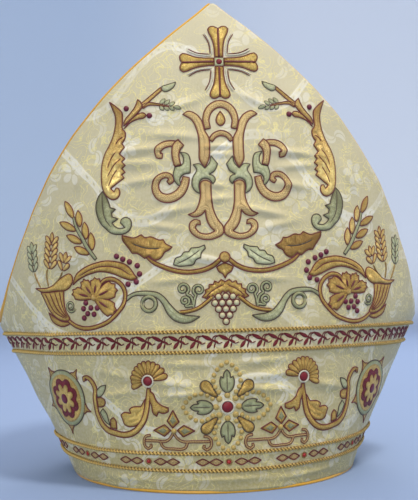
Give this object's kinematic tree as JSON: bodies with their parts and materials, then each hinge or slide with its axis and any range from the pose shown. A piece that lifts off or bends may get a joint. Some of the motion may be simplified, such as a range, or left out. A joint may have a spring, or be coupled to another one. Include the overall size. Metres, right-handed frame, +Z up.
{
  "type": "bishop mitre",
  "caption": "Tall folding headdress with two pointed brocade horns, a satin gusset between them, a bound rim, gold cords and raised embroidery.",
  "frame": {"origin": "centre of the rim on the plane that the mitre stands on", "axes": "+Z up, the embroidered front horn faces -Y, +X across the front, at the viewer's right"},
  "size_m": [0.2902, 0.2104, 0.298],
  "materials": {
    "brocade": "woven, slight sheen",
    "satin": "satin",
    "gold_cord": "twisted metallic thread",
    "gold_thread": "satin stitch",
    "sage_thread": "satin stitch",
    "maroon_thread": "satin stitch"
  },
  "bodies": {
    "root": {"back_horn": "brocade", "central_flower": "sage_thread", "centre_arch": "gold_thread", "centre_garland": "gold_thread", "cross": "gold_thread", "front_horn": "brocade", "grape_cluster": "gold_thread", "gusset": "satin", "left_acanthus_leaf": "gold_thread", "left_bud_branch": "gold_thread", "left_centre_collar": "sage_thread", "left_centre_foot": "gold_thread", "left_centre_strap": "gold_thread", "left_cornucopia": "gold_thread", "left_crescent_leaf": "sage_thread", "left_leaf_sprig": "gold_thread", "left_lily_stand": "gold_thread", "left_lobed_leaf": "gold_thread", "left_lower_scroll": "gold_thread", "left_pale_wheat_ear": "sage_thread", "left_palmette": "gold_thread", "left_rose_medallion": "maroon_thread", "left_sage_leaf": "sage_thread", "left_scroll_leaf": "gold_thread", "left_side_collar": "sage_thread", "left_side_scroll": "gold_thread", "left_side_scroll_head": "gold_thread", "left_small_sage_leaf": "sage_thread", "left_vine_flower": "gold_thread", "left_wheat_ear": "gold_thread", "left_wreath_stem": "gold_thread", "lower_band_bottom_cord": "gold_cord", "lower_band_top_cord": "gold_cord", "right_acanthus_leaf": "gold_thread", "right_bud_branch": "gold_thread", "right_centre_collar": "sage_thread", "right_centre_foot": "gold_thread", "right_centre_strap": "gold_thread", "right_cornucopia": "gold_thread", "right_crescent_leaf": "sage_thread", "right_leaf_sprig": "gold_thread", "right_lily_stand": "gold_thread", "right_lobed_leaf": "gold_thread", "right_lower_scroll": "gold_thread", "right_pale_wheat_ear": "sage_thread", "right_palmette": "gold_thread", "right_rose_medallion": "maroon_thread", "right_sage_leaf": "sage_thread", "right_scroll_leaf": "gold_thread", "right_side_collar": "sage_thread", "right_side_scroll": "gold_thread", "right_side_scroll_head": "gold_thread", "right_small_sage_leaf": "sage_thread", "right_vine_flower": "gold_thread", "right_wheat_ear": "gold_thread", "right_wreath_stem": "gold_thread", "rim_binding": "satin", "upper_band_bottom_cord": "gold_cord", "upper_band_top_cord": "gold_cord"}
  },
  "joints": []
}
